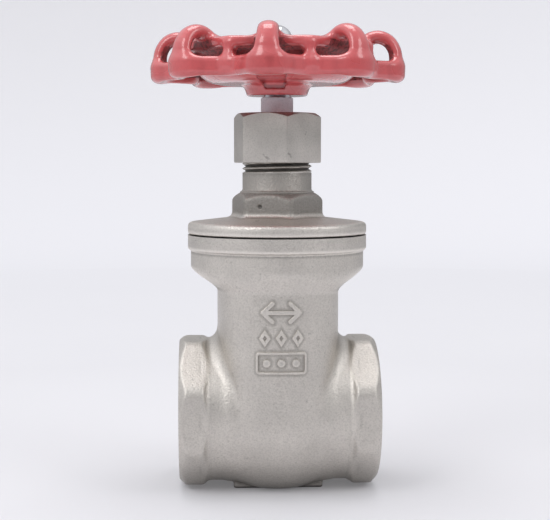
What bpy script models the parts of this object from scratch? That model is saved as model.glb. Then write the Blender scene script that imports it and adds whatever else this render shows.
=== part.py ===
"""Gate valve with screwed ends, screwed bonnet and a non-rising stem, 1-1/2 inch size.

Z is the stem axis, X the flow axis, and the foot pad stands on z = 0.
Sizes below are in millimetres; every mesh is built in metres.
The valve is modelled closed: the wedge sits between its seats.
"""
import math

import bmesh
import bpy
from mathutils import Matrix, Vector

MM = 0.001
GAP = 0.3                      # clearance between pieces that touch

# Body
FLOW_Z = 29.0                  # height of the flow axis
HALF_LENGTH = 37.5             # flow axis, centre to end face
END_FLATS = 55.0               # across flats of the octagonal ends
END_CORNER_R = 29.1            # the octagon's corners are turned to this radius
END_START = 26.3               # where each octagon begins
TUBE_R = 27.2
TUBE_START = 20.2
BARREL_R = 30.4                # barrel at the middle
BARREL_EDGE_R = 27.9
NECK_A = 22.9                  # neck half width along the flow
NECK_B = 30.3                  # neck half width across the flow
NECK_POWER = 3.0               # superellipse exponent of the neck's section
FLARE_START = 74.4
FLARE_TOP = 84.0
FLARE_R = 33.0
RIM_R = 34.1
RIM_BOTTOM = 90.9
BODY_TOP = 96.4
PAD_LENGTH = 34.0
PAD_WIDTH = 20.0

# Waterway, seats and the wedge's pocket
SOCKET_R = 22.6                # pipe socket, at the thread's crest
SOCKET_DEPTH = 18.0
BORE_R = 19.0
SEAT_RING_R = 23.5
POCKET_R = 25.0
POCKET_HALF = 13.0
NECK_WALL = 4.0
CAVITY_BOTTOM = 55.0
SPIGOT_BORE_R = 28.6           # bore in the body's top that takes the bonnet
SPIGOT_BORE_BOTTOM = 85.0
GASKET_SEAT_R = 31.6
GASKET_SEAT_Z = 95.0
GUIDE_WIDTH = 4.0
GUIDE_Y = 21.6
GUIDE_BOTTOM = 22.0
GUIDE_TOP = 84.0

# Wedge
WEDGE_R = 22.8
WEDGE_HALF = 9.3               # half thickness at the flow axis
WEDGE_ANGLE = math.radians(4.0)
WEDGE_BOSS_R = 9.4
WEDGE_BOSS_TOP = 60.0
WEDGE_HOLE_R = 5.8
WEDGE_HOLE_BOTTOM = 8.4

# Bonnet
BONNET_BOTTOM = 96.9
BONNET_EDGE_TOP = 100.9
SPIGOT_R = 28.3
SPIGOT_BOTTOM = 86.4
SPIGOT_INNER_R = 24.0
BONNET_HEX_BASE = 102.8
BONNET_HEX_TOP = 112.9
BONNET_HEX_FLATS = 31.2
BONNET_HEX_TURN = math.radians(-16.0)
BOSS_POCKET_R = 12.0
BOSS_POCKET_TOP = 103.0
SHOULDER_Z = 106.0             # the stem's collar stands above this shoulder
STUFFING_R = 9.4
NECK_THREAD_R = 13.2
NECK_TOP = 133.0

# Stem
STEM_R = 6.15
STEM_THREAD_R = 5.5
STEM_BOTTOM = 51.0
STEM_THREAD_TOP = 101.6
STEM_HOLE_R = 6.5
COLLAR_R = 8.8
COLLAR_BOTTOM = 107.6
COLLAR_TOP = 110.4
STEM_SHOULDER = 148.4
SQUARE = 9.0
SQUARE_TOP = 156.9
STUD_R = 3.9
STUD_TOP = 171.0

# Packing, gland and packing nut
WASHER_HEIGHT = 1.0
BASE_RING_HEIGHT = 1.4
PACKING_COUNT = 5
PACKING_HEIGHT = 3.1
FOLLOWER_FLANGE_R = 11.5
FOLLOWER_FLANGE = 2.3
NUT_BOTTOM = 123.7
NUT_TOP = 142.5
NUT_CEILING = 138.9
NUT_FLATS = 30.2
NUT_TURN = math.radians(-19.6)
NUT_CHAMFER_R = 16.1           # radius of the chamfer where it meets the top face

# Handwheel
LOBES = 8
LOBE_TURN = math.radians(-97.5)   # direction of the first lobe
HUB_BOTTOM = 149.0
HUB_TOP = 156.9
HUB_R = 12.6
BAND_BOTTOM = 154.5
BAND_TOP = 161.5
BAND_LOBE_R = 48.0
BAND_VALLEY_R = 39.6
BAND_WALL = 4.2
RING_BOTTOM = 164.8
RING_TOP = 168.6
RING_LOBE_R = 34.3
RING_VALLEY_R = 38.4
RING_INNER_R = 29.2
ARCH_WIDTH = 8.8
PILLAR_WIDTH = 4.6

# Wheel fastening
WHEEL_WASHER_R = 8.2
WHEEL_WASHER_HEIGHT = 1.5
SPRING_WASHER_R = 7.1
DOME_NUT_BOTTOM = 160.9
DOME_NUT_TOP = 175.8
DOME_NUT_FLATS = 13.0
DOME_R = 5.9

MATERIALS = {                  # base colour, metallic, roughness
    "cast_steel": ((0.56, 0.54, 0.51, 1.0), 1.0, 0.45),
    "machined_steel": ((0.60, 0.59, 0.57, 1.0), 1.0, 0.30),
    "polished_steel": ((0.80, 0.80, 0.82, 1.0), 1.0, 0.08),
    "red_coating": ((0.62, 0.05, 0.06, 1.0), 0.0, 0.25),
    "packing": ((0.85, 0.85, 0.83, 1.0), 0.0, 0.60),
    "gasket": ((0.05, 0.05, 0.05, 1.0), 0.0, 0.70),
}


def clear_scene():
    for old in list(bpy.data.objects):
        bpy.data.objects.remove(old, do_unlink=True)


def make_collection(name):
    collection = bpy.data.collections.new(name)
    bpy.context.scene.collection.children.link(collection)
    return collection


clear_scene()
PARTS = make_collection("gate_valve")
CUTTERS = make_collection("cutters")


def make_material(name, slot):
    colour, metallic, roughness = MATERIALS[slot]
    material = bpy.data.materials.new(name)
    material.use_nodes = True
    shader = material.node_tree.nodes["Principled BSDF"]
    shader.inputs["Base Color"].default_value = colour
    shader.inputs["Metallic"].default_value = metallic
    shader.inputs["Roughness"].default_value = roughness
    return material


def mesh_object(name, mesh):
    """A shape used to build a part; publish() turns it into a part."""
    shape = bpy.data.objects.new(name, mesh)
    CUTTERS.objects.link(shape)
    shape.hide_render = True
    shape.display_type = "WIRE"
    return shape


def publish(shape, name, slot):
    """Move a finished shape to the parts' collection, as a node with its own material."""
    CUTTERS.objects.unlink(shape)
    PARTS.objects.link(shape)
    shape.hide_render = False
    shape.display_type = "TEXTURED"
    shape.name = name
    shape.data.name = name
    shape.data.materials.append(make_material(name, slot))
    shape.data.shade_smooth()
    shape.data.set_sharp_from_angle(angle=math.radians(35))
    return shape


def turned(name, profile, steps=48, ring=False):
    """Revolve (radius, z) points round Z; the profile runs down its outer side.

    A ring's profile is a closed loop; any other starts and ends on the axis.
    """
    points = [(r * MM, 0.0, z * MM) for r, z in profile]
    edges = [(i, i + 1) for i in range(len(points) - 1)]
    if ring:
        edges.append((len(points) - 1, 0))
    mesh = bpy.data.meshes.new(name)
    mesh.from_pydata(points, edges, [])
    shape = mesh_object(name, mesh)
    screw = shape.modifiers.new("turn", "SCREW")
    screw.steps = steps
    screw.render_steps = steps
    screw.use_merge_vertices = True
    screw.merge_threshold = 0.00001
    return shape


def turned_bush(name, inner, outer, bottom, top, steps=40):
    profile = [(outer, top), (outer, bottom), (inner, bottom), (inner, top)]
    return turned(name, profile, steps, ring=True)


def turned_rod(name, radius, bottom, top, steps=40):
    return turned(name, [(0, top), (radius, top), (radius, bottom), (0, bottom)], steps)


def along_flow(shape):
    """Lay a shape turned round Z along the flow axis."""
    shape.rotation_euler = (0.0, math.pi / 2, 0.0)
    shape.location = (0.0, 0.0, FLOW_Z * MM)
    return shape


def prism(name, sides, flats, bottom, top, turn=0.0):
    """An upright regular prism; turn is the direction of one corner."""
    radius = flats / 2 / math.cos(math.pi / sides)
    work = bmesh.new()
    bmesh.ops.create_cone(work, cap_ends=True, segments=sides, radius1=radius * MM,
                          radius2=radius * MM, depth=(top - bottom) * MM)
    first = max(work.verts, key=lambda v: (v.co.z, v.co.x, v.co.y)).co
    place = Matrix.Translation((0, 0, (top + bottom) / 2 * MM))
    spin = Matrix.Rotation(turn - math.atan2(first.y, first.x), 4, "Z")
    bmesh.ops.transform(work, matrix=place @ spin, verts=work.verts)
    mesh = bpy.data.meshes.new(name)
    work.to_mesh(mesh)
    work.free()
    return mesh_object(name, mesh)


def box(name, low, high):
    work = bmesh.new()
    bmesh.ops.create_cube(work, size=1.0)
    size = [(h - l) * MM for l, h in zip(low, high)]
    centre = [(h + l) / 2 * MM for l, h in zip(low, high)]
    place = Matrix.Translation(centre) @ Matrix.Diagonal((*size, 1.0))
    bmesh.ops.transform(work, matrix=place, verts=work.verts)
    mesh = bpy.data.meshes.new(name)
    work.to_mesh(mesh)
    work.free()
    return mesh_object(name, mesh)


def loft(name, rings, hollow=False):
    """Skin a stack of equal rings of points, bottom to top, counter-clockwise from above.

    The ends are capped, or joined to each other when hollow.
    """
    work = bmesh.new()
    rows = [[work.verts.new(Vector(p) * MM) for p in ring] for ring in rings]
    count = len(rows[0])
    pairs = list(zip(rows, rows[1:]))
    if hollow:
        pairs.append((rows[-1], rows[0]))
    for low, high in pairs:
        for i in range(count):
            j = (i + 1) % count
            work.faces.new((low[i], low[j], high[j], high[i]))
    if not hollow:
        work.faces.new(list(reversed(rows[0])))
        work.faces.new(rows[-1])
    # Four points of a lofted face are seldom in one plane, so a Boolean gets triangles.
    bmesh.ops.triangulate(work, faces=[f for f in work.faces if len(f.verts) == 4])
    mesh = bpy.data.meshes.new(name)
    work.to_mesh(mesh)
    work.free()
    return mesh_object(name, mesh)


def combine(shape, other, operation):
    step = shape.modifiers.new(operation.lower(), "BOOLEAN")
    step.operation = operation
    step.object = other
    step.solver = "EXACT"
    return shape


def cut(shape, *others):
    for other in others:
        combine(shape, other, "DIFFERENCE")
    return shape


def join(shape, *others):
    for other in others:
        combine(shape, other, "UNION")
    return shape


def around(radius_at, z, count, start=0.0):
    """Points round Z at height z, with the radius given for each direction."""
    points = []
    for i in range(count):
        angle = start + 2 * math.pi * i / count
        radius = radius_at(angle)
        points.append((radius * math.cos(angle), radius * math.sin(angle), z))
    return points


# ---------------------------------------------------------------- valve body

def superellipse(a, b, power):
    def radius_at(angle):
        x = abs(math.cos(angle)) / a
        y = abs(math.sin(angle)) / b
        return (x ** power + y ** power) ** (-1 / power)
    return radius_at


def neck_shape():
    """Flat-sided neck that flares to a round top."""
    rings = [
        around(superellipse(NECK_A, NECK_B, NECK_POWER), z, 44)
        for z in (FLOW_Z + 1, FLARE_START)
    ]
    steps = 5
    for i in range(1, steps + 1):
        t = i / steps
        blend = t * t * (3 - 2 * t)
        a = NECK_A + (FLARE_R - NECK_A) * blend
        b = NECK_B + (FLARE_R - NECK_B) * blend
        power = NECK_POWER + (2 - NECK_POWER) * blend
        z = FLARE_START + (FLARE_TOP - FLARE_START) * t
        rings.append(around(superellipse(a, b, power), z, 44))
    rings.append(around(lambda angle: FLARE_R, RIM_BOTTOM + 1, 44))
    return loft("neck", rings)


def barrel_shape():
    """Barrel and tube of the body, one turned shape along the flow axis."""
    reach = END_START + 2
    crown = 4
    right = []
    for i in range(crown + 1):
        x = TUBE_START * (1 - i / crown)
        bulge = 1 - (x / TUBE_START) ** 2
        right.append((BARREL_EDGE_R + (BARREL_R - BARREL_EDGE_R) * bulge, x))
    left = [(r, -x) for r, x in reversed(right[:-1])]
    tube_right = [(0, reach), (TUBE_R, reach), (TUBE_R, TUBE_START + 0.1)]
    tube_left = [(r, -x) for r, x in reversed(tube_right)]
    return along_flow(turned("barrel", tube_right + right + left + tube_left, 40))


def end_shape(side):
    """Octagonal end with turned corners and chamfers."""
    name = "end_left" if side < 0 else "end_right"
    octagon = prism(name, 8, END_FLATS, END_START, HALF_LENGTH, turn=math.radians(22.5))
    envelope = turned(name + "_envelope", [
        (0, HALF_LENGTH + 1), (END_CORNER_R - 3.6, HALF_LENGTH + 1),
        (END_CORNER_R - 2.2, HALF_LENGTH - 0.3), (END_CORNER_R, HALF_LENGTH - 2.6),
        (END_CORNER_R, END_START + 2.2), (END_CORNER_R - 2.4, END_START - 0.2),
        (END_CORNER_R - 3.2, END_START - 1), (0, END_START - 1)], 40)
    for shape in (octagon, envelope):
        shape.rotation_euler = (0.0, side * math.pi / 2, 0.0)
        shape.location = (0.0, 0.0, FLOW_Z * MM)
    return combine(octagon, envelope, "INTERSECT")


def pad_shape():
    pad = box("pad", (-PAD_LENGTH / 2, -PAD_WIDTH / 2, 0), (PAD_LENGTH / 2, PAD_WIDTH / 2, 6))
    edge = pad.modifiers.new("rounding", "BEVEL")
    edge.width = 1.2 * MM
    edge.segments = 2
    return pad


def seat_ring(side):
    """Boss of one seat, before its face and bore are cut."""
    ends = sorted((side * (WEDGE_HALF - 2), side * (POCKET_HALF + 1)))
    return along_flow(turned_rod("seat_ring", SEAT_RING_R, ends[0], ends[1], 32))


def wedge_block(name, half, reach):
    """Tapered block, thinner towards the bottom, centred on the flow axis."""
    rings = []
    for z in (FLOW_Z - reach, FLOW_Z + reach):
        x = half + (z - FLOW_Z) * math.tan(WEDGE_ANGLE)
        rings.append([(-x, -reach, z), (x, -reach, z), (x, reach, z), (-x, reach, z)])
    return loft(name, rings)


def guide_rib(side):
    sides = sorted((side * GUIDE_Y, side * (NECK_B - NECK_WALL + 1.5)))
    low = (-GUIDE_WIDTH / 2, sides[0], GUIDE_BOTTOM)
    high = (GUIDE_WIDTH / 2, sides[1], GUIDE_TOP)
    return box("guide_rib", low, high)


def waterway(side):
    """Pipe socket with a countersunk mouth, and the bore from it through the seat."""
    socket_end = HALF_LENGTH - SOCKET_DEPTH
    shape = turned("waterway", [
        (0, HALF_LENGTH + 1), (SOCKET_R + 2.4, HALF_LENGTH + 1), (SOCKET_R, HALF_LENGTH - 1.4),
        (SOCKET_R, socket_end), (BORE_R, socket_end), (BORE_R, WEDGE_HALF - 4),
        (0, WEDGE_HALF - 4)], 38)
    shape.rotation_euler = (0.0, side * math.pi / 2, 0.0)
    shape.location = (0.0, 0.0, FLOW_Z * MM)
    return shape


def build_body():
    body = barrel_shape()
    rim = turned_rod("rim", RIM_R, RIM_BOTTOM, BODY_TOP, 44)
    edge = rim.modifiers.new("rounding", "BEVEL")
    edge.width = 0.8 * MM
    edge.segments = 2
    edge.limit_method = "ANGLE"
    join(body, pad_shape(), end_shape(-1), end_shape(1), neck_shape(), rim)
    cut(body, box("ground", (-60, -60, -10), (60, 60, 0)))

    cavity_a = NECK_A - NECK_WALL
    cavity_b = NECK_B - NECK_WALL
    pocket = along_flow(turned_rod("pocket", POCKET_R, -POCKET_HALF, POCKET_HALF, 34))
    section = superellipse(cavity_a, cavity_b, NECK_POWER)
    cavity = loft("cavity", [around(section, z, 32) for z in (CAVITY_BOTTOM, SPIGOT_BORE_BOTTOM + 1)])
    # The pocket's mouth joins the round pocket to the wider cavity in the neck.
    mouth = box("mouth", (-POCKET_HALF + 0.1, -POCKET_R + 0.6, FLOW_Z),
                (POCKET_HALF - 0.1, POCKET_R - 0.6, CAVITY_BOTTOM + 2))
    spigot_bore = turned_rod("spigot_bore", SPIGOT_BORE_R, SPIGOT_BORE_BOTTOM, BODY_TOP + 1, 40)
    gasket_seat = turned_rod("gasket_seat", GASKET_SEAT_R, GASKET_SEAT_Z, BODY_TOP + 2, 40)
    cut(body, pocket, cavity, mouth, spigot_bore, gasket_seat)
    join(body, seat_ring(-1), seat_ring(1), guide_rib(-1), guide_rib(1))
    seat_faces = along_flow(turned_rod("seat_faces", SEAT_RING_R + 0.8, -14, 14, 40))
    combine(seat_faces, wedge_block("seat_taper", WEDGE_HALF + GAP, SEAT_RING_R + 3), "INTERSECT")
    cut(body, seat_faces)
    cut(body, waterway(-1), waterway(1))
    return publish(body, "valve_body", "cast_steel")


# ------------------------------------------------------------------- wedge

def build_wedge():
    disc = along_flow(turned_rod("disc", WEDGE_R, -14, 14, 40))
    combine(disc, wedge_block("taper", WEDGE_HALF, WEDGE_R + 2), "INTERSECT")
    boss = turned_rod("boss", WEDGE_BOSS_R, FLOW_Z + 4, WEDGE_BOSS_TOP, 28)
    join(disc, boss)
    cut(disc, turned_rod("stem_hole", WEDGE_HOLE_R, WEDGE_HOLE_BOTTOM, WEDGE_BOSS_TOP + 1, 28))
    groove = GUIDE_Y - 2 * GAP
    half = GUIDE_WIDTH / 2 + GAP
    for side in (-1, 1):
        sides = sorted((side * groove, side * (WEDGE_R + 2)))
        cut(disc, box("groove", (-half, sides[0], 0), (half, sides[1], 60)))
    return publish(disc, "wedge", "machined_steel")


# ------------------------------------------------------------------ bonnet

def hexagon(name, flats, bottom, top, turn, crown_r, crown_drop):
    """Hexagon with its top corners turned off at 30 degrees."""
    corner_r = flats / 2 / math.cos(math.pi / 6)
    body = prism(name, 6, flats, bottom, top, turn)
    envelope = turned(name + "_crown", [
        (0, top + 0.2), (crown_r - 0.3, top + 0.2), (corner_r + 0.2, top - crown_drop),
        (corner_r + 0.2, bottom - 1), (0, bottom - 1)], 36)
    return combine(body, envelope, "INTERSECT")


def build_bonnet():
    flange_top = BONNET_HEX_BASE + 0.4
    bonnet = turned("flange", [
        (0, flange_top), (17.0, flange_top), (18.4, BONNET_HEX_BASE), (24.5, 102.2), (30.0, 101.5),
        (RIM_R - 1.3, BONNET_EDGE_TOP), (RIM_R - 0.4, 100.5), (RIM_R, 99.6),
        (RIM_R, BONNET_BOTTOM + 0.4), (RIM_R - 0.4, BONNET_BOTTOM),
        (SPIGOT_R, BONNET_BOTTOM), (SPIGOT_R, SPIGOT_BOTTOM + 0.8),
        (SPIGOT_R - 0.8, SPIGOT_BOTTOM), (0, SPIGOT_BOTTOM)], 40)
    hexagon_solid = hexagon("bonnet_hex", BONNET_HEX_FLATS, BONNET_HEX_BASE - 1, BONNET_HEX_TOP,
                            BONNET_HEX_TURN, 13.6, 2.9)
    neck = turned("bonnet_neck", [
        (0, NECK_TOP), (NECK_THREAD_R - 0.9, NECK_TOP), (NECK_THREAD_R, NECK_TOP - 0.9),
        (NECK_THREAD_R, BONNET_HEX_TOP - 2), (0, BONNET_HEX_TOP - 2)], 36)
    join(bonnet, hexagon_solid, neck)
    underside = turned("underside", [
        (0, BOSS_POCKET_TOP), (BOSS_POCKET_R, BOSS_POCKET_TOP), (BOSS_POCKET_R, 98.4),
        (SPIGOT_INNER_R - 1.5, 97.4), (SPIGOT_INNER_R, 95.9),
        (SPIGOT_INNER_R, SPIGOT_BOTTOM - 1), (0, SPIGOT_BOTTOM - 1)], 36)
    cut(bonnet, underside,
        turned_rod("stem_passage", STEM_HOLE_R, BOSS_POCKET_TOP - 1, NECK_TOP, 28),
        turned_rod("stuffing_box", STUFFING_R, SHOULDER_Z, NECK_TOP + 1, 28))
    return publish(bonnet, "bonnet", "cast_steel")


def build_gasket():
    ring = turned_bush("gasket", SPIGOT_R + 2 * GAP, GASKET_SEAT_R - GAP,
                       GASKET_SEAT_Z + GAP, BONNET_BOTTOM - GAP, 40)
    return publish(ring, "bonnet_gasket", "gasket")


# -------------------------------------------------------------------- stem

def build_stem():
    stem = turned("stem", [
        (0, STEM_SHOULDER), (STEM_R - 0.5, STEM_SHOULDER), (STEM_R, STEM_SHOULDER - 0.5),
        (STEM_R, COLLAR_TOP), (COLLAR_R, COLLAR_TOP), (COLLAR_R, COLLAR_BOTTOM),
        (STEM_R, COLLAR_BOTTOM), (STEM_R, STEM_THREAD_TOP + 1), (STEM_THREAD_R - 1, STEM_THREAD_TOP),
        (STEM_THREAD_R - 1, STEM_THREAD_TOP - 2), (STEM_THREAD_R, STEM_THREAD_TOP - 3),
        (STEM_THREAD_R, STEM_BOTTOM + 1), (STEM_THREAD_R - 1, STEM_BOTTOM), (0, STEM_BOTTOM)], 28)
    square = box("square", (-SQUARE / 2, -SQUARE / 2, STEM_SHOULDER - 2),
                 (SQUARE / 2, SQUARE / 2, SQUARE_TOP))
    edges = square.modifiers.new("corners", "BEVEL")
    edges.width = 0.8 * MM
    stud = turned("stud", [
        (0, STUD_TOP), (STUD_R - 0.8, STUD_TOP), (STUD_R, STUD_TOP - 0.8),
        (STUD_R, SQUARE_TOP - 2), (0, SQUARE_TOP - 2)], 24)
    join(stem, square, stud)
    return publish(stem, "stem", "machined_steel")


# ---------------------------------------------------- packing and its gland

def build_packing():
    """Washers, packing and follower, stacked upwards in the stuffing box."""
    inner = STEM_R + GAP
    outer = STUFFING_R - GAP

    def ring(name, bottom, height, slot):
        publish(turned_bush(name, inner, outer, bottom, bottom + height, 28), name, slot)
        return bottom + height + GAP

    ring("lower_thrust_washer", SHOULDER_Z + GAP, WASHER_HEIGHT, "packing")
    level = ring("upper_thrust_washer", COLLAR_TOP + GAP, WASHER_HEIGHT, "packing")
    level = ring("packing_base_ring", level, BASE_RING_HEIGHT, "machined_steel")
    for number in range(1, PACKING_COUNT + 1):
        level = ring("packing_ring_%d" % number, level, PACKING_HEIGHT, "packing")

    top = NUT_CEILING - GAP
    shelf = top - FOLLOWER_FLANGE
    follower = turned("gland_follower", [
        (FOLLOWER_FLANGE_R, top), (FOLLOWER_FLANGE_R, shelf), (outer, shelf), (outer, level),
        (inner, level), (inner, top)], 32, ring=True)
    publish(follower, "gland_follower", "machined_steel")


def build_packing_nut():
    nut = hexagon("nut", NUT_FLATS, NUT_BOTTOM, NUT_TOP, NUT_TURN, NUT_CHAMFER_R, 1.0)
    passage = turned_rod("nut_passage", STEM_R + GAP, NUT_CEILING - 1, NUT_TOP + 1, 28)
    thread = turned("nut_thread", [
        (0, NUT_CEILING), (NECK_THREAD_R + GAP, NUT_CEILING),
        (NECK_THREAD_R + GAP, NUT_BOTTOM + 0.5), (NECK_THREAD_R + 1.3, NUT_BOTTOM - 0.5),
        (0, NUT_BOTTOM - 0.5)], 36)
    cut(nut, thread, passage)
    return publish(nut, "packing_nut", "machined_steel")


# --------------------------------------------------------------- handwheel

def scallop(lobe_r, valley_r, inset=0.0):
    """Radius of an outline that is lobe_r at each lobe and valley_r between them."""
    middle = (lobe_r + valley_r) / 2 - inset
    swing = (lobe_r - valley_r) / 2

    def radius_at(angle):
        return middle + swing * math.cos(LOBES * (angle - LOBE_TURN))
    return radius_at


def scalloped_ring(name, lobe_r, valley_r, inner_at, bottom, top, chamfer):
    """Ring with a scalloped outer side and a small chamfer on its outer edges."""
    count = LOBES * 8
    outer = scallop(lobe_r, valley_r)
    edge = scallop(lobe_r, valley_r, chamfer)
    rings = [
        around(inner_at, bottom, count), around(edge, bottom, count),
        around(outer, bottom + chamfer, count), around(outer, top - chamfer, count),
        around(edge, top, count), around(inner_at, top, count)]
    return loft(name, rings, hollow=True)


def arch_mesh():
    """One arched grip, its outline in radius and height, extruded across the lobe."""
    curve = bpy.data.curves.new("arch", "CURVE")
    curve.dimensions = "2D"
    curve.fill_mode = "BOTH"
    curve.extrude = ARCH_WIDTH / 2 * MM
    curve.resolution_u = 3
    # Each knot is radius, height and the direction and length of its handles.
    outer = [(BAND_LOBE_R - 0.5, 155.2, 95, 2.0), (46.3, 164.4, 108, 3.0), (37.0, 173.5, 180, 4.2),
             (30.0, 168.0, 270, 3.2), (32.0, 165.4, 330, 1.0), (35.0, 162.6, 280, 1.6),
             (42.6, 158.0, 300, 1.6), (44.0, 155.2, 10, 0.8)]
    hole = [(34.0, 166.0, 90, 1.4), (37.0, 168.4, 0, 1.8), (41.5, 164.0, 280, 1.8),
            (40.0, 161.2, 190, 1.6)]
    for knots in (outer, hole):
        spline = curve.splines.new("BEZIER")
        spline.bezier_points.add(len(knots) - 1)
        spline.use_cyclic_u = True
        for point, (radius, height, direction, reach) in zip(spline.bezier_points, knots):
            centre = Vector((radius, height, 0.0))
            step = Vector((math.cos(math.radians(direction)), math.sin(math.radians(direction)), 0))
            point.co = centre * MM
            point.handle_left = (centre - step * reach) * MM
            point.handle_right = (centre + step * reach) * MM
    holder = bpy.data.objects.new("arch_curve", curve)
    CUTTERS.objects.link(holder)
    bpy.context.view_layer.update()
    graph = bpy.context.evaluated_depsgraph_get()
    mesh = bpy.data.meshes.new_from_object(holder.evaluated_get(graph))
    bpy.data.objects.remove(holder, do_unlink=True)
    work = bmesh.new()
    work.from_mesh(mesh)
    bmesh.ops.remove_doubles(work, verts=work.verts, dist=0.00001)
    bmesh.ops.transform(work, matrix=Matrix.Rotation(math.pi / 2, 4, "X"), verts=work.verts)
    bmesh.ops.recalc_face_normals(work, faces=work.faces)
    work.to_mesh(mesh)
    work.free()
    return mesh


def repeat_around(name, mesh, turn):
    """Copies of one mesh round the stem axis, one for each lobe, in one shape."""
    work = bmesh.new()
    for i in range(LOBES):
        copy = mesh.copy()
        copy.transform(Matrix.Rotation(turn + 2 * math.pi * i / LOBES, 4, "Z"))
        work.from_mesh(copy)
        bpy.data.meshes.remove(copy)
    joined = bpy.data.meshes.new(name)
    work.to_mesh(joined)
    work.free()
    return mesh_object(name, joined)


def build_handwheel():
    wheel = turned("hub_and_dish", [
        (0, HUB_TOP), (24.0, HUB_TOP - 0.2), (26.6, 157.9), (28.2, 160.4), (RING_INNER_R, 164.0),
        (RING_INNER_R + 0.4, RING_BOTTOM + 2.4), (RING_INNER_R + 2.6, RING_BOTTOM + 2.4),
        (RING_INNER_R + 2.9, 162.0), (30.6, 158.2), (28.2, 155.0), (25.0, 153.6),
        (13.6, 153.2), (HUB_R, 152.4), (HUB_R - 1.0, HUB_BOTTOM), (0, HUB_BOTTOM)], 40)
    band = scalloped_ring("band", BAND_LOBE_R, BAND_VALLEY_R,
                          scallop(BAND_LOBE_R, BAND_VALLEY_R, BAND_WALL),
                          BAND_BOTTOM, BAND_TOP, 0.9)
    ring = scalloped_ring("top_ring", RING_LOBE_R, RING_VALLEY_R, lambda angle: RING_INNER_R - 0.3,
                          RING_BOTTOM, RING_TOP, 0.8)
    pillar = box("pillar", (BAND_VALLEY_R - BAND_WALL + 0.4, -PILLAR_WIDTH / 2, BAND_BOTTOM + 0.5),
                 (BAND_VALLEY_R - 0.6, PILLAR_WIDTH / 2, RING_BOTTOM + 1.0))
    pillars = repeat_around("pillars", pillar.data, LOBE_TURN + math.pi / LOBES)
    bpy.data.objects.remove(pillar, do_unlink=True)
    arches = repeat_around("arches", arch_mesh(), LOBE_TURN)
    join(wheel, ring, arches, band, pillars)
    half = SQUARE / 2 + GAP
    cut(wheel, box("square_hole", (-half, -half, HUB_BOTTOM - 1), (half, half, HUB_TOP + 1)))
    return publish(wheel, "handwheel", "red_coating")


# -------------------------------------------------------- wheel fastening

def build_wheel_fastening():
    inner = STUD_R + GAP
    level = HUB_TOP + GAP
    washer = turned_bush("washer", inner, WHEEL_WASHER_R, level, level + WHEEL_WASHER_HEIGHT, 28)
    publish(washer, "wheel_washer", "machined_steel")
    level += WHEEL_WASHER_HEIGHT + GAP
    spring = turned_bush("spring", inner, SPRING_WASHER_R, level, DOME_NUT_BOTTOM - GAP, 28)
    cut(spring, box("split", (-0.6, 0, level - 1), (0.6, SPRING_WASHER_R + 1, level + 4)))
    publish(spring, "spring_washer", "machined_steel")

    flat_top = DOME_NUT_BOTTOM + 6.4
    nut = hexagon("dome_nut", DOME_NUT_FLATS, DOME_NUT_BOTTOM, flat_top, math.radians(20), 6.3, 0.7)
    dome = [(DOME_R * math.sin(a), DOME_NUT_TOP - DOME_R + DOME_R * math.cos(a))
            for a in [math.pi / 2 * i / 5 for i in range(6)]]
    join(nut, turned("dome", dome + [(DOME_R, flat_top - 2), (0, flat_top - 2)], 24))
    cut(nut, turned_rod("dome_hole", inner, DOME_NUT_BOTTOM - 1, STUD_TOP + 1, 24))
    publish(nut, "dome_nut", "polished_steel")


build_body()
build_wedge()
build_bonnet()
build_gasket()
build_stem()
build_packing()
build_packing_nut()
build_handwheel()
build_wheel_fastening()
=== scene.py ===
"""Looks of the gate valve: cast shapes as smooth distance fields, machined parts as turned
meshes with real threads, and procedural materials. Lengths are in millimetres until a mesh
is made, which is in metres.
"""

import math

import bpy
import numpy as np
import openvdb
from mathutils import Matrix, Vector


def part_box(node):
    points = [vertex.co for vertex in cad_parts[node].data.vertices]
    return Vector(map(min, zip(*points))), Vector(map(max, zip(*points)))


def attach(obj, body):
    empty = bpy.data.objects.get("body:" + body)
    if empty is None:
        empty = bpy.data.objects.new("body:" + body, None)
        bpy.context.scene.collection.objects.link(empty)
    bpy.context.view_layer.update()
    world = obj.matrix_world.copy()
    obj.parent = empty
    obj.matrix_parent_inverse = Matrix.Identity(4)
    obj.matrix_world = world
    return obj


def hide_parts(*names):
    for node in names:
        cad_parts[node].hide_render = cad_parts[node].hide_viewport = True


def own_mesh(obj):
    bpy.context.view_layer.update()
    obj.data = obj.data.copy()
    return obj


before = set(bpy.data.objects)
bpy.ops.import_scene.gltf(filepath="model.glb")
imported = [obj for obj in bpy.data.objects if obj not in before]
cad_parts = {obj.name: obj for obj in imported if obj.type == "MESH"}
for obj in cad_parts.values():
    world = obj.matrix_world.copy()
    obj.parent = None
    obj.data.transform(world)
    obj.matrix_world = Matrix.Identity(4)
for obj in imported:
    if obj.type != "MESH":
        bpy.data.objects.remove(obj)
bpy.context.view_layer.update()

MM = 0.001
TAU = 2 * math.pi


def node_box(node):
    """A CAD node's lowest and highest corners, in millimetres."""
    low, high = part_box(node)
    return np.array(low) / MM, np.array(high) / MM


def round_box(node):
    """A round CAD node's bottom, top and radius, in millimetres."""
    low, high = node_box(node)
    return low[2], high[2], high[0]


body_low, body_high = node_box("valve_body")
bonnet_low, bonnet_high = node_box("bonnet")
wheel_low, wheel_high = node_box("handwheel")

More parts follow.
